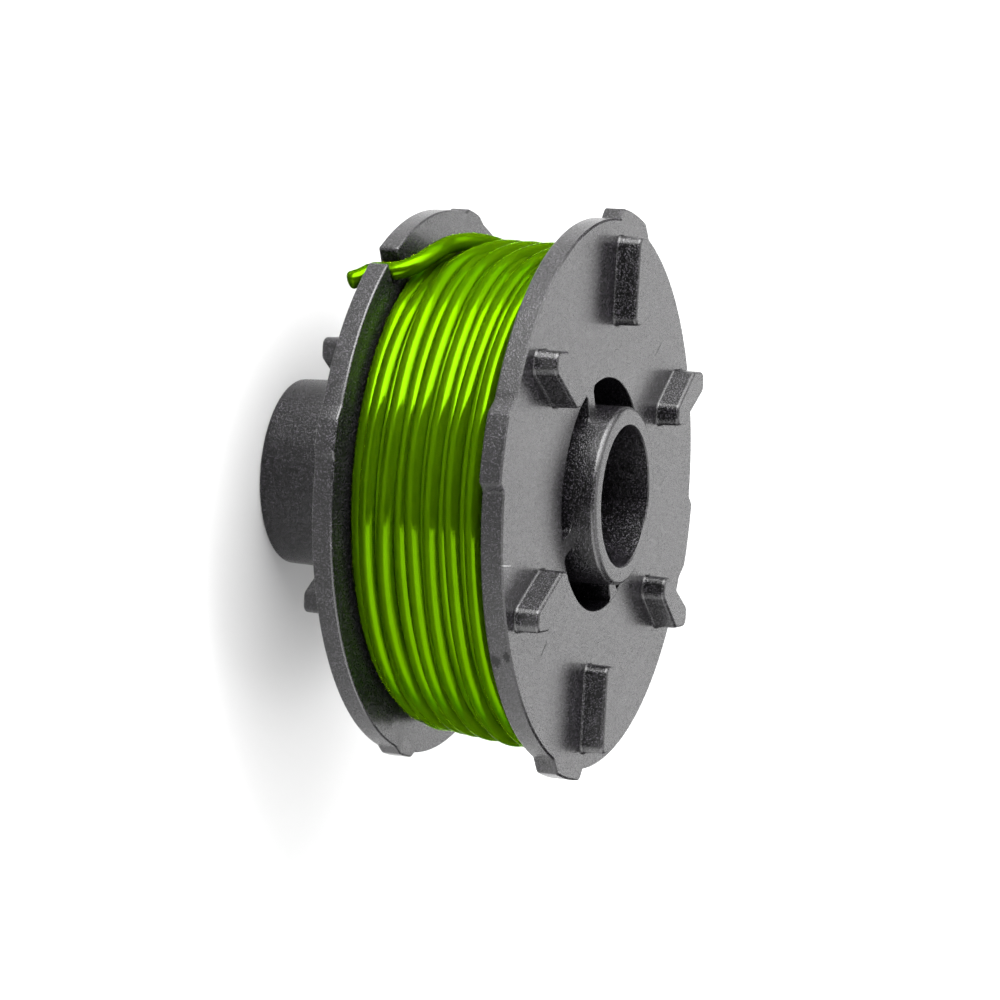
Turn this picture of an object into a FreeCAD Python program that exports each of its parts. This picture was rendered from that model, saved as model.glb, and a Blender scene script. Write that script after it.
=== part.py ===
import FreeCAD, Part
import math
import os

# Trimmer line spool: a moulded nylon spool and the cutting line wound on it.
# The spool's axis is Z. It stands on the end of its long boss, at Z = 0,
# with the lugged front face on top. All sizes are in millimetres and degrees.

# Bore, hub tube and raised ring
BORE_RADIUS = 6.4
BORE_CHAMFER = 0.3
TUBE_WALL = 1.7
RING_HEIGHT = 2.2
RING_EASING = 0.8

# Boss on the rear side, slightly tapered
BOSS_LENGTH = 12.6
BOSS_END_WALL = 2.2
BOSS_TAPER = 0.4
BOSS_END_CHAMFER = 0.4

# Open pockets between the tube and the drum, seen as four slots in the front face
POCKET_WIDTH = 2.5
POCKET_FLOOR = 1.6
WEB_COUNT = 4
WEB_THICKNESS = 1.6
WEB_ANGLE = 30.0

# Drum, flanges and the space between them
DRUM_WALL = 2.6
WINDING_WIDTH = 13.8
FLANGE_RADIUS = 25.0
FRONT_FLANGE = 2.05
REAR_FLANGE = 1.9

# Lugs, the same on both outer faces
LUG_HEIGHT = 2.2
LUG_EDGE_ROUNDING = 0.5
LUG_TURN = 4.0
STRAIGHT_LUG_INSET = 1.8
STRAIGHT_LUG_LENGTH = 7.7
STRAIGHT_LUG_BREADTH = 2.2
BENT_LUG_INSET = 5.7
BENT_LUG_ANGLE = 60.0
BENT_LUG_LENGTH = 7.2
BENT_LUG_BREADTH = 5.1
BENT_LUG_INNER_SLANT = 52.9
BENT_LUG_INNER_OFFSET = 1.66
BENT_LUG_OUTER_SLANT = 60.0
BENT_LUG_OUTER_OFFSET = 1.28

# Snap tabs on the rims: base, top and base again, in degrees after the quarter axis
TAB_COUNT = 4
TAB_HEIGHT = 0.85
FRONT_TAB = (-17.3, -13.8, -0.4, 1.2)
REAR_TAB = (-13.7, -10.7, -4.3, -2.7)

# Line, wound in nested layers, and its notch in the rear flange
LINE_DIAMETER = 1.65
LAYER_NESTING = 0.15
LINE_CLEARANCE = 0.1
FREE_RIM = 2.5
CREST_HALF_ANGLE = 27.0
NOTCH_ANGLE = 218.2
NOTCH_CLEARANCE = 0.28
TAIL_LENGTH = 2.2

# Levels along the axis
REAR_FACE = BOSS_LENGTH
REAR_INNER = REAR_FACE + REAR_FLANGE
FRONT_INNER = REAR_INNER + WINDING_WIDTH
FRONT_FACE = FRONT_INNER + FRONT_FLANGE
TOP = FRONT_FACE + RING_HEIGHT

# Radii that follow from the walls
TUBE_RADIUS = BORE_RADIUS + TUBE_WALL
BOSS_END_RADIUS = BORE_RADIUS + BOSS_END_WALL
POCKET_RADIUS = TUBE_RADIUS + POCKET_WIDTH
DRUM_RADIUS = POCKET_RADIUS + DRUM_WALL

# The winding that fills the space, and where its outer end leaves
LINE_RADIUS = LINE_DIAMETER / 2
LAYER_RISE = LINE_DIAMETER - LAYER_NESTING
TURNS_ACROSS = int((WINDING_WIDTH - 2 * LINE_CLEARANCE) / LINE_DIAMETER)
FULL_RADIUS = FLANGE_RADIUS - FREE_RIM
LAYERS = 1 + int((FULL_RADIUS - DRUM_RADIUS - LINE_DIAMETER) / LAYER_RISE)
WINDING_RADIUS = DRUM_RADIUS + LINE_DIAMETER + (LAYERS - 1) * LAYER_RISE
NOTCH_WIDTH = LINE_DIAMETER + 2 * NOTCH_CLEARANCE
NOTCH_CENTRE_RADIUS = WINDING_RADIUS + LINE_RADIUS + LINE_CLEARANCE

UP = FreeCAD.Vector(0, 0, 1)
CENTRE = FreeCAD.Vector(0, 0, 0)


def polar(radius, angle, z=0.0):
    turn = math.radians(angle)
    return FreeCAD.Vector(radius * math.cos(turn), radius * math.sin(turn), z)


def cylinder(radius, bottom, top):
    return Part.makeCylinder(radius, top - bottom, FreeCAD.Vector(0, 0, bottom))


def revolve(outline):
    """Turn a closed outline of (radius, z) points about the axis."""
    points = [FreeCAD.Vector(r, 0, z) for r, z in outline]
    face = Part.Face(Part.makePolygon(points + points[:1]))
    return face.revolve(CENTRE, UP, 360)


def prism(points, bottom, top):
    """Raise a closed outline of (x, y) points from one level to another."""
    corners = [FreeCAD.Vector(x, y, bottom) for x, y in points]
    face = Part.Face(Part.makePolygon(corners + corners[:1]))
    return face.extrude(FreeCAD.Vector(0, 0, top - bottom))


def turned(shape, angle):
    copy = shape.copy()
    copy.rotate(CENTRE, UP, angle)
    return copy


def flange(bottom, top, tab):
    """A disc whose rim rises into a snap tab after each quarter axis."""
    tip_radius = FLANGE_RADIUS + TAB_HEIGHT
    base_start, tip_start, tip_end, base_end = tab
    tip_middle = (tip_start + tip_end) / 2
    root = FLANGE_RADIUS * 0.8
    edges = [
        Part.makeLine(polar(root, base_start, bottom), polar(FLANGE_RADIUS, base_start, bottom)),
        Part.makeLine(polar(FLANGE_RADIUS, base_start, bottom), polar(tip_radius, tip_start, bottom)),
        Part.Arc(
            polar(tip_radius, tip_start, bottom),
            polar(tip_radius, tip_middle, bottom),
            polar(tip_radius, tip_end, bottom),
        ).toShape(),
        Part.makeLine(polar(tip_radius, tip_end, bottom), polar(FLANGE_RADIUS, base_end, bottom)),
        Part.makeLine(polar(FLANGE_RADIUS, base_end, bottom), polar(root, base_end, bottom)),
        Part.makeLine(polar(root, base_end, bottom), polar(root, base_start, bottom)),
    ]
    tab_solid = Part.Face(Part.Wire(edges)).extrude(FreeCAD.Vector(0, 0, top - bottom))
    tabs = [turned(tab_solid, index * 360 / TAB_COUNT) for index in range(TAB_COUNT)]
    return cylinder(FLANGE_RADIUS, bottom, top).fuse(tabs)


def rounded_lug(lug, middle):
    """Turn a lug about its own middle and round its upright edges."""
    lug.rotate(middle, UP, LUG_TURN)
    upright = [edge for edge in lug.Edges if edge.BoundBox.ZLength > LUG_HEIGHT / 2]
    return lug.makeFillet(LUG_EDGE_ROUNDING, upright)


def block(middle, length, breadth):
    """A plain lug block, with its length along Y, standing on Z = 0."""
    corner = middle - FreeCAD.Vector(breadth / 2, length / 2, 0)
    return Part.makeBox(breadth, length, LUG_HEIGHT, corner)


def beyond_slant(middle, direction, offset):
    """All that lies further than the offset to the left of a line through the middle."""
    reach = 2 * BENT_LUG_LENGTH
    corner = middle + FreeCAD.Vector(-reach, offset, 0)
    waste = Part.makeBox(2 * reach, reach, LUG_HEIGHT, corner)
    waste.rotate(middle, UP, direction)
    return waste


def straight_lug(side):
    reach = FLANGE_RADIUS - STRAIGHT_LUG_INSET - STRAIGHT_LUG_LENGTH / 2
    middle = FreeCAD.Vector(side * reach, 0, 0)
    lug = block(middle, STRAIGHT_LUG_LENGTH, STRAIGHT_LUG_BREADTH)
    lug.rotate(middle, UP, 90)
    return rounded_lug(lug, middle)


def bent_lug(side_x, side_y):
    """A block beside the straight lugs' line, with two opposite corners cut away."""
    middle = polar(FLANGE_RADIUS - BENT_LUG_INSET, BENT_LUG_ANGLE)
    lug = block(middle, BENT_LUG_LENGTH, BENT_LUG_BREADTH)
    lug = lug.cut([
        beyond_slant(middle, BENT_LUG_INNER_SLANT + 180, BENT_LUG_INNER_OFFSET),
        beyond_slant(middle, BENT_LUG_OUTER_SLANT, BENT_LUG_OUTER_OFFSET),
    ])
    if side_x < 0:
        lug = lug.mirror(CENTRE, FreeCAD.Vector(1, 0, 0))
    if side_y < 0:
        lug = lug.mirror(CENTRE, FreeCAD.Vector(0, 1, 0))
    return rounded_lug(lug, FreeCAD.Vector(side_x * middle.x, side_y * middle.y, 0))


def lugs():
    """The six lugs of one face, standing on Z = 0."""
    shapes = [straight_lug(1), straight_lug(-1)]
    for side_x in (1, -1):
        for side_y in (1, -1):
            shapes.append(bent_lug(side_x, side_y))
    return shapes


def hub():
    """The solid core: boss, drum and raised ring, before the pockets and bore are cut."""
    step = RING_EASING * 0.3
    return revolve([
        (0, 0),
        (BOSS_END_RADIUS - BOSS_END_CHAMFER, 0),
        (BOSS_END_RADIUS, BOSS_END_CHAMFER),
        (BOSS_END_RADIUS + BOSS_TAPER, REAR_FACE),
        (DRUM_RADIUS, REAR_FACE),
        (DRUM_RADIUS, FRONT_FACE),
        (TUBE_RADIUS, FRONT_FACE),
        (TUBE_RADIUS, TOP - RING_EASING),
        (TUBE_RADIUS - step, TOP - step),
        (TUBE_RADIUS - RING_EASING, TOP),
        (0, TOP),
    ])


def pockets():
    """The ring of pockets open to the front face, left between the webs."""
    bottom = REAR_INNER + POCKET_FLOOR
    ring = cylinder(POCKET_RADIUS, bottom, FRONT_FACE)
    ring = ring.cut(cylinder(TUBE_RADIUS, bottom, FRONT_FACE))
    half = WEB_THICKNESS / 2
    reach = POCKET_RADIUS + 1
    web = prism([(0, -half), (reach, -half), (reach, half), (0, half)], bottom, FRONT_FACE)
    webs = [turned(web, WEB_ANGLE + index * 360 / WEB_COUNT) for index in range(WEB_COUNT)]
    return ring.cut(webs)


def bore():
    """The bore's waste, eased at both mouths."""
    wide = BORE_RADIUS + BORE_CHAMFER
    return revolve([
        (0, 0),
        (wide, 0),
        (BORE_RADIUS, BORE_CHAMFER),
        (BORE_RADIUS, TOP - BORE_CHAMFER),
        (wide, TOP),
        (0, TOP),
    ])


def notch():
    """The slot in the rear flange that the line leaves through, round at its foot."""
    half = NOTCH_WIDTH / 2
    reach = FLANGE_RADIUS + TAB_HEIGHT + 1
    corners = [(NOTCH_CENTRE_RADIUS, -half), (reach, -half), (reach, half), (NOTCH_CENTRE_RADIUS, half)]
    slot = prism(corners, REAR_FACE, REAR_INNER)
    foot = Part.makeCylinder(half, REAR_FLANGE, FreeCAD.Vector(NOTCH_CENTRE_RADIUS, 0, REAR_FACE))
    return turned(slot.fuse(foot), NOTCH_ANGLE)


def make_spool():
    front = flange(FRONT_INNER, FRONT_FACE, FRONT_TAB)
    rear = flange(REAR_FACE, REAR_INNER, REAR_TAB)
    front_lugs = []
    rear_lugs = []
    for lug in lugs():
        raised = lug.copy()
        raised.translate(FreeCAD.Vector(0, 0, FRONT_FACE))
        front_lugs.append(raised)
        hung = lug.mirror(CENTRE, UP)
        hung.translate(FreeCAD.Vector(0, 0, REAR_FACE))
        rear_lugs.append(hung)
    body = hub().fuse([front, rear] + front_lugs + rear_lugs)
    body = body.cut([pockets(), bore(), notch()])
    return body.removeSplitter()


def winding():
    """The wound turns as one solid, with a ridge for each turn of the outer layer."""
    bottom = REAR_INNER + LINE_CLEARANCE
    pitch = (WINDING_WIDTH - 2 * LINE_CLEARANCE) / TURNS_ACROSS
    crest = math.radians(CREST_HALF_ANGLE)
    centre_radius = WINDING_RADIUS - LINE_RADIUS
    shoulder_radius = centre_radius + LINE_RADIUS * math.cos(crest)
    half_crest = LINE_RADIUS * math.sin(crest)
    outline = [(DRUM_RADIUS, bottom), (shoulder_radius, bottom)]
    for groove in range(1, TURNS_ACROSS):
        level = bottom + groove * pitch
        outline.append((shoulder_radius, level - pitch / 2 + half_crest))
        outline.append((centre_radius, level))
        outline.append((shoulder_radius, level + pitch / 2 - half_crest))
    top = bottom + TURNS_ACROSS * pitch
    outline += [(shoulder_radius, top), (DRUM_RADIUS, top)]
    return revolve(outline)


def rounded_path(points):
    """Straight runs through the points, joined by the largest tangent arcs that fit."""
    edges = []
    start = points[0]
    for index in range(1, len(points) - 1):
        corner = points[index]
        back = points[index - 1] - corner
        ahead = points[index + 1] - corner
        run = min(back.Length, ahead.Length)
        half_turn = (math.pi - back.getAngle(ahead)) / 2
        trim = 0.45 * run
        back.normalize()
        ahead.normalize()
        arc_start = corner + back * trim
        arc_end = corner + ahead * trim
        radius = trim / math.tan(half_turn)
        inward = (back + ahead).normalize()
        centre = corner + inward * (radius / math.cos(half_turn))
        edges.append(Part.makeLine(start, arc_start))
        edges.append(Part.Arc(arc_start, centre - inward * radius, arc_end).toShape())
        start = arc_end
        print("line bend radius %.1f mm" % radius)
    edges.append(Part.makeLine(start, points[-1]))
    return Part.Wire(edges)


def outer_end():
    """The last stretch of line, across the winding and out through the notch."""
    laid = WINDING_RADIUS - LINE_RADIUS
    points = [
        polar(laid, NOTCH_ANGLE - 28, REAR_INNER + 3.7),
        polar(NOTCH_CENTRE_RADIUS, NOTCH_ANGLE, REAR_INNER + 1.6),
        polar(NOTCH_CENTRE_RADIUS, NOTCH_ANGLE + 0.5, REAR_FACE - TAIL_LENGTH),
    ]
    path = rounded_path(points)
    tangent = points[1] - points[0]
    circle = Part.Circle(points[0], tangent, LINE_RADIUS).toShape()
    tube = Part.Wire(path).makePipeShell([Part.Wire(circle)], True, True)
    print("tail volume %.2f, section times length %.2f" % (
        tube.Volume, math.pi * LINE_RADIUS ** 2 * path.Length))
    return tube


def make_line():
    return winding().fuse(outer_end()).removeSplitter()


def line_length():
    """Length of the whole line: every layer's turns at that layer's radius."""
    total = 0.0
    for layer in range(LAYERS):
        radius = DRUM_RADIUS + LINE_RADIUS + layer * LAYER_RISE
        total += TURNS_ACROSS * 2 * math.pi * radius
    return total


def main():
    os.makedirs("parts", exist_ok=True)
    pieces = {"spool": make_spool(), "line": make_line()}
    for name, shape in pieces.items():
        solids = shape.Solids
        print(name, "solids", len(solids), "valid", shape.isValid(), "volume %.1f" % shape.Volume)
        solids[0].exportStep("parts/" + name + ".step")
    print("line length %.0f mm" % line_length())


main()
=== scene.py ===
"""Trimmer line spool: the moulded nylon spool and its wound line, dressed for the photograph."""

import math

import bmesh
import bpy
from mathutils import Matrix, Vector


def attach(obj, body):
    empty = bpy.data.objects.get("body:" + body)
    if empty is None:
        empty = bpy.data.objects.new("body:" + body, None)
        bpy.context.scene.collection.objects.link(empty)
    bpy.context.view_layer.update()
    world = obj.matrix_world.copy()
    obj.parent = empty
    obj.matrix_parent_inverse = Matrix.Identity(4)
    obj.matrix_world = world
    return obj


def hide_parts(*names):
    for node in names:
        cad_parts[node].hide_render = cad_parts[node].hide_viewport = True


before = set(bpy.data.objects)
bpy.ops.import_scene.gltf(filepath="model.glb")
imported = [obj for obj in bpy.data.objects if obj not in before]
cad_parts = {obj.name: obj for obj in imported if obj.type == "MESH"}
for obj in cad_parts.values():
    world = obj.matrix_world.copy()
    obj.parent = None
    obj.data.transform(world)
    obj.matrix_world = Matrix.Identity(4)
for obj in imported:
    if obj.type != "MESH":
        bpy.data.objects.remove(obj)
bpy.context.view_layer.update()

MM = 0.001

# The part's own sizes, in millimetres and degrees, as in the part's source
BORE_RADIUS = 6.4
TUBE_RADIUS = 8.1
POCKET_RADIUS = 10.6
DRUM_RADIUS = 13.2
FLANGE_RADIUS = 25.0
BOSS_END_RADIUS = 8.6
BOSS_ROOT_RADIUS = 9.0
REAR_FACE = 12.6
REAR_INNER = 14.5
POCKET_FLOOR = 16.1
FRONT_INNER = 28.3
FRONT_FACE = 30.35
TOP = 32.55
WEB_COUNT = 4
WEB_THICKNESS = 1.6
WEB_ANGLE = 30.0
LUG_HEIGHT = 2.2
LUG_TURN = 4.0
BENT_LUG_REACH = 19.3
BENT_LUG_ANGLE = 60.0
BENT_LUG_SIZE = (5.1, 7.2)
# Each slant of a bent lug: its direction, and how far from the lug's middle it cuts
BENT_LUG_SLANTS = ((232.9, 1.66), (60.0, 1.28))
# Each tab's angles: the foot and the top of its ramp, then the top and the foot of its end
FRONT_TAB = (-17.3, -13.8, -0.4, 1.2)
REAR_TAB = (-13.7, -10.7, -4.3, -2.7)
LINE_RADIUS = 0.825
LINE_CLEARANCE = 0.1
NOTCH_ANGLE = 218.2
NOTCH_HALF = 1.105
NOTCH_CENTRE_RADIUS = 23.275

# Sizes that follow the photograph more closely than the part's source does
STRAIGHT_LUG_REACH = 19.45
STRAIGHT_LUG_SIZE = (8.1, 2.2)
FRONT_TAB_HEIGHT = 1.0
REAR_TAB_HEIGHT = 0.45

# Fine edges that only this scene has. The tabs' softening is in degrees
RIM_ROUNDING = 0.2
RIM_BEVEL_DEPTH = 0.14
RIM_BEVEL_INSET = 0.18
RING_ROUNDING = 0.5
BORE_ROUNDING = 0.12
MOUTH_ROUNDING = 0.12
POCKET_FILLET = 0.4
WEB_CORNER = 0.6
BOSS_FILLET = 0.35
BOSS_ROUNDING = 0.4
LUG_CORNER = 0.8
LUG_TOP_ROUNDING = 0.32
LUG_BASE_FILLET = 0.22
LUG_DRAFT = 0.05
NOTCH_CORNER = 0.3
TAB_SOFTENING = 0.35
# A web's top edge: (how far the sides draw in, how far below the web's top)
WEB_TOP_EDGE = ((0.0, 0.1), (0.04, 0.03), (0.12, 0.0))

# How far the moulding's separate shells reach into each other
LUG_ROOT_DEPTH = 0.3
WEB_ROOT_DEPTH = 0.5
WEB_OVERLAP = 0.3
WEB_SINK = 0.03

# How the spool's skin is divided: columns by angle, in degrees, and rings by radius
COLUMN_STEP = 1.0
COLUMN_GAP = 0.1
TAB_EDGE_STEPS = 12
TAB_EDGE_MARGIN = 3
NOTCH_MARGIN = 0.02
FACE_RING_RADIUS = 21.5
SHARP_ANGLE = 35.0

# The camera: its right, up and back directions, the turn of their frame, and its place
VIEW_TURN = 102.25
VIEW_RIGHT = Vector((0.36478, 0.0, 0.93109))
VIEW_UP = Vector((0.18787, 0.97943, -0.07360))
VIEW_BACK = Vector((-0.91194, 0.20177, 0.35728))
VIEW_DISTANCE = 368.586
VIEW_SHIFT_RIGHT = -9.3139
VIEW_SHIFT_UP = -0.49754
LENS = 146.327
SENSOR_WIDTH = 36.0

# The wear that the photograph shows: (centre, turn about the axis, half sizes), in millimetres
DARK_MARKS = (
    ((15.05, -19.95, 28.80), -53.0, (0.6, 0.62, 0.48)),
    ((14.60, -20.35, 29.95), -54.0, (0.6, 0.50, 0.30)),
    ((13.90, -12.27, 30.35), -43.0, (1.0, 0.07, 0.3)),
    ((-14.07, 12.55, 30.35), 129.7, (1.2, 0.06, 0.3)),
)
LIGHT_MARKS = (
    ((6.71, -23.10, 30.35), 90.0, (1.2, 0.06, 0.3)),
)


# ---------------------------------------------------------------- helpers

def polar(radius, angle, z):
    turn = math.radians(angle)
    return Vector((radius * math.cos(turn), radius * math.sin(turn), z))


def arc(centre, radius, start, end, steps):
    """Points (a, b) on an arc about the centre, angles in degrees."""
    points = []
    for step in range(steps + 1):
        turn = math.radians(start + (end - start) * step / steps)
        points.append((centre[0] + radius * math.cos(turn), centre[1] + radius * math.sin(turn)))
    return points


class Shells:
    """Closed shells gathered into one mesh."""

    def __init__(self):
        self.vertices = []
        self.faces = []

    def grid(self, rows, close_rows=True, caps=False):
        """Quads between rows of points. Each row is a closed loop."""
        first = len(self.vertices)
        width = len(rows[0])
        for row in rows:
            self.vertices.extend(row)
        count = len(rows)
        for i in range(count if close_rows else count - 1):
            here = first + i * width
            there = first + (i + 1) % count * width
            for j in range(width):
                k = (j + 1) % width
                self.faces.append((here + j, here + k, there + k, there + j))
        if caps:
            last = first + (count - 1) * width
            self.faces.append(tuple(first + j for j in reversed(range(width))))
            self.faces.append(tuple(last + j for j in range(width)))

    def build(self, name, material):
        """Make the piece, smooth between its sharp edges, with the frame's root as its body."""
        mesh = bpy.data.meshes.new(name)
        mesh.from_pydata([tuple(v * MM) for v in self.vertices], [], self.faces)
        work = bmesh.new()
        work.from_mesh(mesh)
        bmesh.ops.recalc_face_normals(work, faces=work.faces[:])
        limit = math.radians(SHARP_ANGLE)
        for face in work.faces:
            face.smooth = True
        for edge in work.edges:
            if len(edge.link_faces) == 2 and edge.calc_face_angle(0.0) > limit:
                edge.smooth = False
        work.to_mesh(mesh)
        work.free()
        mesh.materials.append(material)
        piece = bpy.data.objects.new(name, mesh)
        bpy.context.scene.collection.objects.link(piece)
        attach(piece, "root")
        return piece


# ---------------------------------------------------------------- materials

def new_material(name):
    material = bpy.data.materials.new(name)
    material.use_nodes = True
    tree = material.node_tree
    tree.nodes.clear()
    output = tree.nodes.new("ShaderNodeOutputMaterial")
    shader = tree.nodes.new("ShaderNodeBsdfPrincipled")
    tree.links.new(shader.outputs["BSDF"], output.inputs["Surface"])
    return material, tree, shader


def noise(tree, coordinates, scale, detail, roughness=0.5):
    node = tree.nodes.new("ShaderNodeTexNoise")
    node.inputs["Scale"].default_value = scale
    node.inputs["Detail"].default_value = detail
    node.inputs["Roughness"].default_value = roughness
    tree.links.new(coordinates, node.inputs["Vector"])
    return node.outputs["Fac"]


def ramp(tree, value, stops):
    """Map a value through (position, colour) stops."""
    node = tree.nodes.new("ShaderNodeValToRGB")
    elements = node.color_ramp.elements
    elements[0].position, elements[0].color = stops[0]
    elements[1].position, elements[1].color = stops[-1]
    for position, colour in stops[1:-1]:
        elements.new(position).color = colour
    tree.links.new(value, node.inputs["Fac"])
    return node.outputs["Color"]


def grey(level):
    return (level, level, level, 1.0)


def bump(tree, height, strength, distance, below=None, sunk=False):
    """Normals bumped by a height, on top of the normals below. Distances are in metres."""
    node = tree.nodes.new("ShaderNodeBump")
    node.invert = sunk
    node.inputs["Strength"].default_value = strength
    node.inputs["Distance"].default_value = distance
    tree.links.new(height, node.inputs["Height"])
    if below is not None:
        tree.links.new(below, node.inputs["Normal"])
    return node.outputs["Normal"]


def over(tree, below, mask, level):
    """A grey level laid over a colour where the mask is white."""
    node = tree.nodes.new("ShaderNodeMix")
    node.data_type = "RGBA"
    tree.links.new(mask, node.inputs["Factor"])
    tree.links.new(below, node.inputs["A"])
    node.inputs["B"].default_value = grey(level)
    return node.outputs["Result"]


def mark(tree, place, centre, turn, size, flecks):
    """A ragged mask, white inside an ellipsoid on the object's surface."""
    local = tree.nodes.new("ShaderNodeMapping")
    local.vector_type = "TEXTURE"
    local.inputs["Location"].default_value = [value * MM for value in centre]
    local.inputs["Rotation"].default_value = (0.0, 0.0, math.radians(turn))
    local.inputs["Scale"].default_value = [2 * value * MM for value in size]
    tree.links.new(place, local.inputs["Vector"])
    length = tree.nodes.new("ShaderNodeVectorMath")
    length.operation = "LENGTH"
    tree.links.new(local.outputs["Vector"], length.inputs[0])
    ragged = tree.nodes.new("ShaderNodeMath")
    ragged.operation = "ADD"
    tree.links.new(length.outputs["Value"], ragged.inputs[0])
    tree.links.new(flecks, ragged.inputs[1])
    return ramp(tree, ragged.outputs["Value"], [(0.9, grey(1.0)), (1.0, grey(0.0))])


def nylon_material():
    """Charcoal glass-filled nylon: light and dark grains, raised specks and a few worn marks."""
    material, tree, shader = new_material("spool_nylon")
    place = tree.nodes.new("ShaderNodeTexCoord").outputs["Object"]
    grains = noise(tree, place, scale=7500.0, detail=1.0, roughness=0.6)
    clouds = noise(tree, place, scale=260.0, detail=4.0, roughness=0.6)
    grain_colour = ramp(tree, grains, [
        (0.42, (0.0003, 0.0003, 0.0003, 1.0)),
        (0.56, (0.0006, 0.0005, 0.0006, 1.0)),
        (0.66, (0.020, 0.018, 0.022, 1.0)),
    ])
    cloud_colour = ramp(tree, clouds, [(0.3, grey(0.82)), (0.7, grey(1.12))])
    flecks = noise(tree, place, scale=4200.0, detail=2.0)
    dark_marks = [mark(tree, place, *placed, flecks) for placed in DARK_MARKS]
    light_marks = [mark(tree, place, *placed, flecks) for placed in LIGHT_MARKS]
    mix = tree.nodes.new("ShaderNodeMix")
    mix.data_type = "RGBA"
    mix.blend_type = "MULTIPLY"
    mix.inputs["Factor"].default_value = 1.0
    tree.links.new(grain_colour, mix.inputs["A"])
    tree.links.new(cloud_colour, mix.inputs["B"])
    colour = mix.outputs["Result"]
    polish = ramp(tree, grains, [(0.38, grey(0.33)), (0.60, grey(0.15))])
    for mask in dark_marks:
        colour = over(tree, colour, mask, level=0.0003)
        polish = over(tree, polish, mask, level=0.9)
    for mask in light_marks:
        colour = over(tree, colour, mask, level=0.08)
    tree.links.new(colour, shader.inputs["Base Color"])
    tree.links.new(polish, shader.inputs["Roughness"])
    shader.inputs["IOR"].default_value = 1.36
    specks = ramp(tree, grains, [(0.52, grey(0.0)), (0.66, grey(1.0))])
    skin = bump(tree, specks, strength=1.0, distance=0.000012)
    skin = bump(tree, clouds, strength=0.12, distance=0.0003, below=skin)
    for mask in dark_marks:
        skin = bump(tree, mask, strength=1.0, distance=0.0004, below=skin, sunk=True)
    tree.links.new(skin, shader.inputs["Normal"])
    return material


def line_material():
    """Translucent lime nylon line: smooth, with yellow-green shine."""
    material, tree, shader = new_material("line_nylon")
    place = tree.nodes.new("ShaderNodeTexCoord").outputs["Object"]
    clouds = noise(tree, place, scale=300.0, detail=3.0)
    colour = ramp(tree, clouds, [
        (0.3, (0.0225, 0.056, 0.0002, 1.0)),
        (0.7, (0.0255, 0.063, 0.0003, 1.0)),
    ])
    polish = ramp(tree, clouds, [(0.3, grey(0.08)), (0.7, grey(0.12))])
    tree.links.new(colour, shader.inputs["Base Color"])
    tree.links.new(polish, shader.inputs["Roughness"])
    shader.inputs["Metallic"].default_value = 0.62
    shader.inputs["Subsurface Weight"].default_value = 1.0
    shader.inputs["Subsurface Scale"].default_value = 0.0015
    shader.inputs["Subsurface Radius"].default_value = (1.0, 1.0, 0.3)
    shader.inputs["Specular IOR Level"].default_value = 0.0
    shader.inputs["Specular Tint"].default_value = (0.15, 0.27, 0.02, 1.0)
    ripple = noise(tree, place, scale=900.0, detail=2.0)
    skin = bump(tree, ripple, strength=0.08, distance=0.00015)
    tree.links.new(skin, shader.inputs["Normal"])
    return material


def floor_material():
    material, tree, shader = new_material("floor_white")
    place = tree.nodes.new("ShaderNodeTexCoord").outputs["Object"]
    clouds = noise(tree, place, scale=3.0, detail=2.0)
    colour = ramp(tree, clouds, [(0.3, grey(0.29)), (0.7, grey(0.30))])
    tree.links.new(colour, shader.inputs["Base Color"])
    shader.inputs["Roughness"].default_value = 0.8
    return material


nylon = nylon_material()
lime = line_material()


# ---------------------------------------------------------------- spool

def tab_rise(angle, tab):
    """How far the rim has risen into a snap tab at an angle, from 0 to 1."""
    base_start, tip_start, tip_end, base_end = tab
    place = (angle + 45.0) % 90.0 - 45.0

    def rise(at):
        if at <= base_start or at >= base_end:
            return 0.0
        if at < tip_start:
            return (at - base_start) / (tip_start - base_start)
        if at > tip_end:
            return (base_end - at) / (base_end - tip_end)
        return 1.0

    return sum(rise(place + TAB_SOFTENING * step / 3) for step in range(-3, 4)) / 7


def notch_outline():
    """The notch's outline in the rear rim, from its first rim corner to its last."""
    foot = arc((NOTCH_CENTRE_RADIUS, 0.0), NOTCH_HALF, 90.0, 270.0, 16)
    wall_top = FLANGE_RADIUS - NOTCH_MARGIN - NOTCH_CORNER
    wall_length = wall_top - NOTCH_CENTRE_RADIUS
    upper = arc((wall_top, NOTCH_HALF + NOTCH_CORNER), NOTCH_CORNER, 0.0, -90.0, 5)
    walls = [(wall_top - wall_length * step / 5, NOTCH_HALF) for step in range(1, 5)]
    half = upper + walls
    outline = half + foot + [(x, -y) for x, y in reversed(half)]
    turn = Matrix.Rotation(math.radians(NOTCH_ANGLE), 3, "Z")
    return [turn @ Vector((x, y, 0.0)) for x, y in reversed(outline)]


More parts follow.
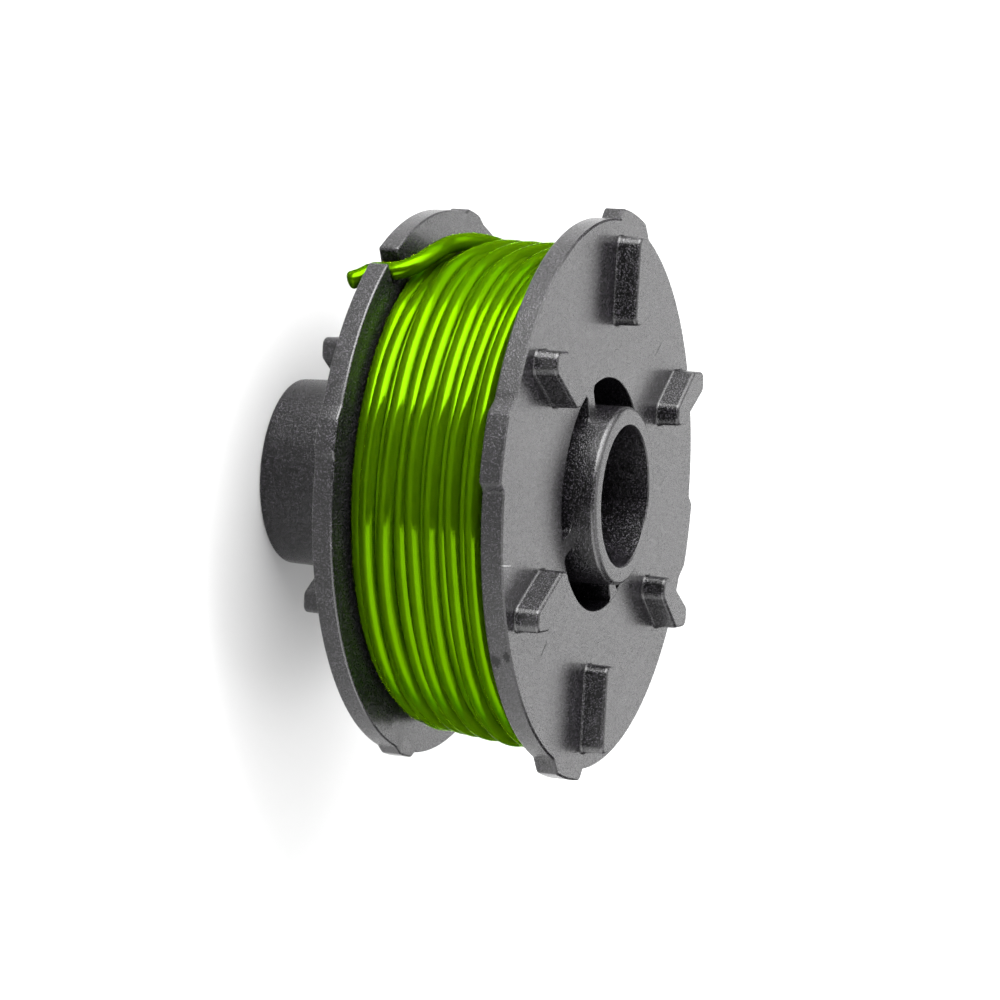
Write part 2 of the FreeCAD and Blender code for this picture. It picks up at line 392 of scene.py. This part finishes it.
def rim_columns():
    """One entry for each column of the spool's mesh: its angle, and its points on both rims."""
    angles = {round(index * COLUMN_STEP, 3) for index in range(int(360 / COLUMN_STEP))}
    for quarter in range(0, 360, 90):
        for tab in (FRONT_TAB, REAR_TAB):
            for start, end in (tab[:2], tab[2:]):
                for index in range(-TAB_EDGE_MARGIN, TAB_EDGE_STEPS + TAB_EDGE_MARGIN + 1):
                    angle = quarter + start + (end - start) * index / TAB_EDGE_STEPS
                    angles.add(round(angle % 360, 3))
    notch = notch_outline()
    reach = math.degrees(math.asin((NOTCH_HALF + NOTCH_CORNER) / FLANGE_RADIUS))
    first, last = NOTCH_ANGLE - reach, NOTCH_ANGLE + reach
    columns = []
    for angle in sorted(angles):
        if first - COLUMN_GAP < angle < last + COLUMN_GAP:
            continue
        if columns and angle - columns[-1][0] < COLUMN_GAP:
            continue
        front = FLANGE_RADIUS + FRONT_TAB_HEIGHT * tab_rise(angle, FRONT_TAB)
        rear = FLANGE_RADIUS + REAR_TAB_HEIGHT * tab_rise(angle, REAR_TAB)
        columns.append((angle, polar(front, angle, 0.0), polar(rear, angle, 0.0)))
    for index, point in enumerate(notch):
        angle = first + (last - first) * index / (len(notch) - 1)
        columns.append((angle, polar(FLANGE_RADIUS, angle, 0.0), point))
    columns.sort(key=lambda column: column[0])
    return columns


def outward(points):
    """Unit normals that point out of a closed outline that turns anticlockwise."""
    normals = []
    for index, point in enumerate(points):
        along = points[(index + 1) % len(points)] - points[index - 1]
        normals.append(Vector((along.y, -along.x, 0.0)).normalized())
    return normals


def spool_body():
    """The body as one closed skin, from the bore over the front to the boss's end.

    It is turned, apart from the rims with their tabs and the notch.
    """
    columns = rim_columns()
    angles = [column[0] for column in columns]
    rims = {
        "front": [column[1] for column in columns],
        "rear": [column[2] for column in columns],
    }
    normals = {side: outward(points) for side, points in rims.items()}

    def ring(radius, z):
        return [polar(radius, angle, z) for angle in angles]

    def rounded(radius, z, size, start, end, steps=4):
        """Rings along an arc of the profile, about a centre at this radius and height."""
        return [ring(r, level) for r, level in arc((radius, z), size, start, end, steps)]

    def rim(side, inset, z):
        return [
            point - normal * inset + Vector((0, 0, z))
            for point, normal in zip(rims[side], normals[side])
        ]

    def rim_edge(side, level, into):
        """Round a rim's edge, from the face at this level into the rim."""
        rows = []
        for step in range(5):
            turn = math.radians(90.0 * step / 4)
            inset = RIM_ROUNDING * (1 - math.sin(turn))
            rows.append(rim(side, inset, level + into * RIM_ROUNDING * (1 - math.cos(turn))))
        return rows

    rows = [
        ring(BORE_RADIUS + BORE_ROUNDING, 0.0),
        ring(BORE_RADIUS, BORE_ROUNDING),
        ring(BORE_RADIUS, TOP - BORE_ROUNDING),
        ring(BORE_RADIUS + BORE_ROUNDING, TOP),
    ]
    rows += rounded(TUBE_RADIUS - RING_ROUNDING, TOP - RING_ROUNDING,
                    RING_ROUNDING, 90.0, 0.0, steps=8)
    rows += rounded(TUBE_RADIUS + POCKET_FILLET, POCKET_FLOOR + POCKET_FILLET,
                    POCKET_FILLET, 180.0, 270.0)
    rows += rounded(POCKET_RADIUS - POCKET_FILLET, POCKET_FLOOR + POCKET_FILLET,
                    POCKET_FILLET, 270.0, 360.0)
    rows += rounded(POCKET_RADIUS + MOUTH_ROUNDING, FRONT_FACE - MOUTH_ROUNDING,
                    MOUTH_ROUNDING, 180.0, 90.0)
    # A second ring close to the pocket's mouth keeps the shading of the face flat up to it
    rows += [
        ring(POCKET_RADIUS + 2 * MOUTH_ROUNDING, FRONT_FACE),
        ring(FACE_RING_RADIUS, FRONT_FACE),
        rim("front", RIM_BEVEL_INSET, FRONT_FACE),
        rim("front", 0.0, FRONT_FACE - RIM_BEVEL_DEPTH),
    ]
    rows += reversed(rim_edge("front", FRONT_INNER, 1))
    rows += [
        ring(FACE_RING_RADIUS, FRONT_INNER),
        ring(DRUM_RADIUS, FRONT_INNER),
        ring(DRUM_RADIUS, REAR_INNER),
        ring(FACE_RING_RADIUS, REAR_INNER),
    ]
    rows += rim_edge("rear", REAR_INNER, -1)
    rows += reversed(rim_edge("rear", REAR_FACE, 1))
    rows += [ring(FACE_RING_RADIUS, REAR_FACE)]
    rows += rounded(BOSS_ROOT_RADIUS + BOSS_FILLET, REAR_FACE - BOSS_FILLET,
                    BOSS_FILLET, 90.0, 180.0)
    rows += rounded(BOSS_END_RADIUS - BOSS_ROUNDING, BOSS_ROUNDING,
                    BOSS_ROUNDING, 0.0, -90.0)
    return rows


def clipped(outline, direction, offset):
    """Cut away what lies further than the offset to the left of a line through the origin."""
    turn = math.radians(direction)
    normal = Vector((-math.sin(turn), math.cos(turn)))
    kept = []
    for index, point in enumerate(outline):
        following = outline[(index + 1) % len(outline)]
        here, there = normal.dot(point) - offset, normal.dot(following) - offset
        if here <= 0:
            kept.append(point)
        if (here < 0) != (there < 0) and here != there:
            kept.append(point.lerp(following, here / (here - there)))
    return kept


def rectangle(width, height):
    corners = ((-1, -1), (1, -1), (1, 1), (-1, 1))
    return [Vector((x * width / 2, y * height / 2)) for x, y in corners]


def lug_outlines():
    """The six lugs' plan outlines: (middle, corner points about it), all anticlockwise."""
    outlines = []
    for side in (1, -1):
        middle = Vector((side * STRAIGHT_LUG_REACH, 0.0))
        outlines.append((middle, rectangle(*STRAIGHT_LUG_SIZE)))
    reach = polar(BENT_LUG_REACH, BENT_LUG_ANGLE, 0.0)
    bent = rectangle(*BENT_LUG_SIZE)
    for direction, offset in BENT_LUG_SLANTS:
        bent = clipped(bent, direction, offset)
    for side_x in (1, -1):
        for side_y in (1, -1):
            corners = [Vector((side_x * p.x, side_y * p.y)) for p in bent]
            if side_x * side_y < 0:
                corners.reverse()
            outlines.append((Vector((side_x * reach.x, side_y * reach.y)), corners))
    turn = Matrix.Rotation(math.radians(LUG_TURN), 2)
    return [(middle, [turn @ p for p in corners]) for middle, corners in outlines]


def lug_rows(middle, corners, face, direction):
    """One lug as rows of points from under the face to its flat top."""
    def loop(offset, height):
        points = []
        count = len(corners)
        for index, corner in enumerate(corners):
            back = (corner - corners[index - 1]).normalized()
            ahead = (corners[(index + 1) % count] - corner).normalized()
            normal_back = Vector((back.y, -back.x))
            normal_ahead = Vector((ahead.y, -ahead.x))
            bisector = (normal_back + normal_ahead).normalized()
            centre = corner - bisector * (LUG_CORNER / bisector.dot(normal_back))
            for step in range(6):
                way = normal_back.slerp(normal_ahead, step / 5)
                spot = middle + (centre + way * (LUG_CORNER + offset))
                points.append(Vector((spot.x, spot.y, face + direction * height)))
        return points

    rows = [loop(LUG_BASE_FILLET, -LUG_ROOT_DEPTH)]
    for step in range(5):
        turn = math.radians(90.0 * step / 4)
        rows.append(loop(
            LUG_BASE_FILLET * (1 - math.sin(turn)),
            LUG_BASE_FILLET * (1 - math.cos(turn)),
        ))
    for step in range(6):
        turn = math.radians(90.0 * step / 5)
        rows.append(loop(
            -LUG_DRAFT - LUG_TOP_ROUNDING * (1 - math.cos(turn)),
            LUG_HEIGHT - LUG_TOP_ROUNDING * (1 - math.sin(turn)),
        ))
    return rows


def web_rows(angle):
    """One web between hub tube and drum, with the rounded corners of the slots beside it."""
    top = FRONT_FACE - WEB_SINK
    level = WEB_THICKNESS / 2 + WEB_CORNER
    side = arc((TUBE_RADIUS + WEB_CORNER, level), WEB_CORNER, 180.0, 270.0, 6)
    side += arc((POCKET_RADIUS - WEB_CORNER, level), WEB_CORNER, 270.0, 360.0, 6)
    turn = Matrix.Rotation(math.radians(angle), 3, "Z")
    levels = [(0.0, POCKET_FLOOR - WEB_ROOT_DEPTH)]
    levels += [(inset, top - depth) for inset, depth in WEB_TOP_EDGE]
    rows = []
    for inset, z in levels:
        half = [(TUBE_RADIUS - WEB_OVERLAP, side[0][1])]
        half += [(x, y - inset) for x, y in side]
        half += [(POCKET_RADIUS + WEB_OVERLAP, side[-1][1])]
        corners = [(x, -y) for x, y in half] + list(reversed(half))
        rows.append([turn @ Vector((x, y, z)) for x, y in corners])
    return rows


def make_spool():
    shells = Shells()
    shells.grid(spool_body())
    for index in range(WEB_COUNT):
        shells.grid(web_rows(WEB_ANGLE + index * 360.0 / WEB_COUNT), close_rows=False, caps=True)
    for middle, corners in lug_outlines():
        for face, direction in ((FRONT_FACE, 1), (REAR_FACE, -1)):
            shells.grid(lug_rows(middle, corners, face, direction), close_rows=False, caps=True)
    piece = shells.build("spool_moulding", nylon)
    weighted = piece.modifiers.new("face_normals", "WEIGHTED_NORMAL")
    weighted.keep_sharp = True
    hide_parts("spool")


make_spool()


# ---------------------------------------------------------------- line

# Where the photograph shows each turn of the outer layer: at these angles about the axis,
# in the camera's frame, (z, radius of the turn's centre), from the front flange to the rear
SEEN_ANGLES = (105.0, 135.0, 160.0, 192.0, 220.0, 250.0)
OUTER_TURNS = (
    ((26.70, 21.5), (26.30, 21.5), (26.25, 21.5), (26.40, 21.7), (26.30, 22.2), (26.45, 22.9)),
    ((24.90, 21.5), (24.60, 21.5), (24.25, 21.5), (24.50, 21.5), (24.40, 22.1), (24.25, 22.7)),
    ((22.60, 21.5), (22.50, 21.5), (22.40, 21.5), (22.40, 21.5), (22.20, 21.9), (22.05, 22.4)),
    ((20.75, 21.5), (20.80, 21.5), (20.60, 21.5), (20.85, 21.5), (20.60, 21.7), (20.45, 22.2)),
    ((18.30, 21.6), (18.25, 21.5), (18.30, 21.5), (17.95, 21.5), (17.90, 21.6), (17.95, 21.9)),
)
# It comes up out of the winding beside the front flange: (angle, z, radius)
OUTER_START = ((20.0, 27.3, 19.6), (70.0, 27.3, 21.0))
# Between two turns it steps across. From the turn before: (angle, shift in z), how much
# deeper it is where the step starts, and its radius where the step ends
STEP_START = (-40.0, 0.2)
STEP_END = (68.0, 0.3)
STEP_DIP = 0.1
STEP_END_RADIUS = 21.85
# The last turn crosses the one below and leaves through the notch: (angle, z, radius)
EXIT_RUN = (
    (400.0, 18.3, 21.5), (432.0, 18.7, 21.6), (445.0, 18.65, 22.1), (453.5, 17.95, 22.7),
    (460.0, 17.0, 23.0), (466.0, 16.65, 23.2), (471.0, 16.1, 23.25), (474.0, 15.35, 23.28),
    (475.6, 14.4, 23.3), (476.1, 13.4, 23.3), (476.4, 12.5, 23.35), (479.0, 11.6, 23.42),
    (480.6, 10.9, 23.5),
)
# Its cut end is rounded: (how far on, size), as shares of the line's radius
CUT_END = ((0.15, 0.93), (0.28, 0.78), (0.36, 0.5))
# The layer below shows between the outer turns: each turn's z and radius
LOWER_TURNS = (
    (27.35, 21.0), (25.45, 21.15), (23.45, 21.15), (21.60, 21.05), (19.50, 21.15),
    (17.35, 21.0), (15.46, 20.95),
)
# All but its last turn sag outward towards the underside: (angle, how much further out)
LOWER_RISE = ((85.0, 0.0), (190.0, 0.0), (220.0, 0.4), (250.0, 0.95), (300.0, 0.1))
# It ends in a raised turn beside the rear flange, under the last turn's crossing, as seen at
# the same angles, and goes down into the winding: (angle, z, radius)
RAISED_TURN = (
    (16.80, 20.9), (16.55, 21.4), (16.45, 21.5), (16.35, 21.5), (16.20, 21.5), (16.15, 21.5),
)
LOWER_END = ((300.0, 16.6, 21.0), (340.0, 17.6, 19.6))
# The hidden turns are one solid ring
BULK_RADIUS = 19.9
BULK_DRUM_GAP = 0.01
BULK_SIDES = 120


def smooth_path(keys, step=2.0):
    """Points through (angle, z, radius) keys, by Catmull-Rom between them in the angle."""
    points = []
    for index in range(len(keys) - 1):
        before = keys[max(index - 1, 0)]
        a, b = keys[index], keys[index + 1]
        after = keys[min(index + 2, len(keys) - 1)]
        width = b[0] - a[0]
        count = max(3, math.ceil(width / step))
        for part in range(count):
            t = part / count
            angle = a[0] + width * t
            values = []
            for axis in (1, 2):
                slope_a = (b[axis] - before[axis]) / (b[0] - before[0])
                slope_b = (after[axis] - a[axis]) / (after[0] - a[0])
                values.append(
                    (2 * t ** 3 - 3 * t ** 2 + 1) * a[axis]
                    + (t ** 3 - 2 * t ** 2 + t) * width * slope_a
                    + (3 * t ** 2 - 2 * t ** 3) * b[axis]
                    + (t ** 3 - t ** 2) * width * slope_b
                )
            z, radius = values
            points.append(polar(radius, angle + VIEW_TURN, z))
    angle, z, radius = keys[-1]
    points.append(polar(radius, angle + VIEW_TURN, z))
    return points


def tube_rows(path, radius, sides):
    """Rows of a round tube with a rounded far end.

    The path never runs straight out from the axis, so the rows need no other guide.
    """
    onward = (path[-1] - path[-2]).normalized()
    rings = [(point, radius) for point in path]
    rings += [(path[-1] + onward * radius * step, radius * size) for step, size in CUT_END]
    points = [point for point, size in rings]
    rows = []
    for index, (point, size) in enumerate(rings):
        ahead = points[min(index + 1, len(points) - 1)]
        along = (ahead - points[max(index - 1, 0)]).normalized()
        out = Vector((point.x, point.y, 0.0))
        out = (out - along * out.dot(along)).normalized()
        side = along.cross(out)
        rows.append([
            point + (out * math.cos(turn) + side * math.sin(turn)) * size
            for turn in (2 * math.pi * k / sides for k in range(sides))
        ])
    return rows


def outer_path():
    """The outer layer, from the front flange to the notch. Its turns step across near the top."""
    keys = list(OUTER_START)
    for index, turn in enumerate(OUTER_TURNS):
        turned = 360.0 * index
        if index:
            z, radius = OUTER_TURNS[index - 1][-1]
            keys.append((turned + STEP_START[0], z + STEP_START[1], radius - STEP_DIP))
            keys.append((turned + STEP_END[0], z + STEP_END[1], STEP_END_RADIUS))
        keys += [(angle + turned, z, radius) for angle, (z, radius) in zip(SEEN_ANGLES, turn)]
    turned = 360.0 * (len(OUTER_TURNS) - 1)
    keys += [(angle + turned, z, radius) for angle, z, radius in EXIT_RUN]
    return smooth_path(keys)


def lower_path():
    """The layer below it, from the front flange to the raised turn beside the rear flange."""
    keys = []
    last = len(LOWER_TURNS) - 1
    for index, (z, radius) in enumerate(LOWER_TURNS):
        for angle, rise in LOWER_RISE:
            keys.append((angle + 360.0 * index, z, radius + (rise if index < last else 0.0)))
    turned = 360.0 * len(LOWER_TURNS)
    keys += [(angle + turned, z, radius) for angle, (z, radius) in zip(SEEN_ANGLES, RAISED_TURN)]
    keys += [(turned + angle, z, radius) for angle, z, radius in LOWER_END]
    return smooth_path(keys, step=3.0)


def bulk_rows():
    """The ring of hidden turns, clear of the drum and of both flanges."""
    inside = DRUM_RADIUS + BULK_DRUM_GAP
    rear, front = REAR_INNER + LINE_CLEARANCE, FRONT_INNER - LINE_CLEARANCE
    profile = ((inside, rear), (BULK_RADIUS, rear), (BULK_RADIUS, front), (inside, front))
    return [
        [polar(radius, 360.0 / BULK_SIDES * side, z) for side in range(BULK_SIDES)]
        for radius, z in profile
    ]


def make_line():
    inner_shells = Shells()
    inner_shells.grid(bulk_rows())
    inner_shells.grid(tube_rows(lower_path(), LINE_RADIUS, 12), close_rows=False, caps=True)
    inner = inner_shells.build("line_inner_turns", lime)
    outer_shells = Shells()
    outer_shells.grid(tube_rows(outer_path(), LINE_RADIUS, 20), close_rows=False, caps=True)
    outer = outer_shells.build("line_outer_turns", lime)
    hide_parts("line")
    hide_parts("line")


make_line()


# ---------------------------------------------------------------- camera, floor and light

view_turn = Matrix.Rotation(math.radians(VIEW_TURN), 3, "Z")
right, up, back = (view_turn @ axis for axis in (VIEW_RIGHT, VIEW_UP, VIEW_BACK))
target = Vector((0, 0, FRONT_FACE))

# Long lights along the camera's right: (name, lowest and highest angle from the camera towards
# the picture's top, in degrees, distance, shift to the right and length, in metres, radiance)
LONG_LIGHTS = (
    ("upper_softbox", 32.5, 85.0, 0.8, 0.35, 1.10, 12.0),
    ("upper_fill", 32.5, 112.0, 0.9, 0.35, 3.0, 8.5),
    ("upper_panel", 29.5, 85.0, 0.12, -0.04, 0.16, 10.0),
    ("lower_softbox", -102.0, -22.0, 0.8, 0.35, 3.0, 4.0),
    ("lower_panel", -108.0, -19.5, 0.12, -0.04, 0.16, 5.4),
)
# Lights for the front face: (name, direction from the face, distance, width, height, radiance)
FACE_LIGHTS = (
    ("side_softbox", Vector((1.0, -0.13, 0.40)), 0.9, 0.75, 0.32, 3.3),
    ("top_softbox", Vector((0.25, 0.0, 1.0)), 1.0, 1.2, 1.2, 3.5),
)
FLOOR_REACH = 3.0


def make_camera():
    data = bpy.data.cameras.new("camera")
    data.lens = LENS
    data.sensor_width = SENSOR_WIDTH
    data.clip_start = 0.01
    data.clip_end = 20.0
    camera = bpy.data.objects.new("camera", data)
    place = target + back * VIEW_DISTANCE + right * VIEW_SHIFT_RIGHT + up * VIEW_SHIFT_UP
    axes = Matrix((right, up, back)).transposed().to_4x4()
    camera.matrix_world = Matrix.Translation(place * MM) @ axes
    bpy.context.scene.collection.objects.link(camera)
    bpy.context.scene.camera = camera


def softbox(name, place, normal, width_axis, width, height, radiance):
    """A rectangular light that shines along the normal. Its place is in metres from the face."""
    aim = -normal.normalized()
    across = (width_axis - aim * width_axis.dot(aim)).normalized()
    data = bpy.data.lights.new(name, "AREA")
    data.shape = "RECTANGLE"
    data.size = width
    data.size_y = height
    data.energy = radiance * math.pi * width * height
    light = bpy.data.objects.new(name, data)
    axes = Matrix((across, aim.cross(across), aim)).transposed().to_4x4()
    light.matrix_world = Matrix.Translation(target * MM + place) @ axes
    bpy.context.scene.collection.objects.link(light)


def around(angle):
    """A direction turned from the camera towards the picture's top, in degrees."""
    turn = math.radians(angle)
    return back * math.cos(turn) + up * math.sin(turn)


def make_floor():
    mesh = bpy.data.meshes.new("floor")
    corners = [
        (x * FLOOR_REACH, y * FLOOR_REACH, 0.0)
        for x, y in ((-1, -1), (1, -1), (1, 1), (-1, 1))
    ]
    mesh.from_pydata(corners, [], [(0, 1, 2, 3)])
    mesh.materials.append(floor_material())
    floor = bpy.data.objects.new("floor", mesh)
    bpy.context.scene.collection.objects.link(floor)


def make_lights():
    for name, start, end, distance, shift, length, radiance in LONG_LIGHTS:
        middle, half = (start + end) / 2, math.radians((end - start) / 2)
        toward = around(middle)
        softbox(name, toward * distance + right * shift, -toward, around(middle + 90.0),
                2 * distance * math.tan(half), length, radiance)
    for name, direction, distance, width, height, radiance in FACE_LIGHTS:
        toward = (view_turn @ direction).normalized()
        softbox(name, toward * distance, -toward, up, width, height, radiance)


def make_world():
    world = bpy.data.worlds.new("studio")
    world.use_nodes = True
    background = world.node_tree.nodes["Background"]
    background.inputs["Color"].default_value = (0.02, 0.02, 0.021, 1.0)
    bpy.context.scene.world = world
    bpy.context.scene.view_settings.view_transform = "Standard"


make_camera()
make_floor()
make_lights()
make_world()
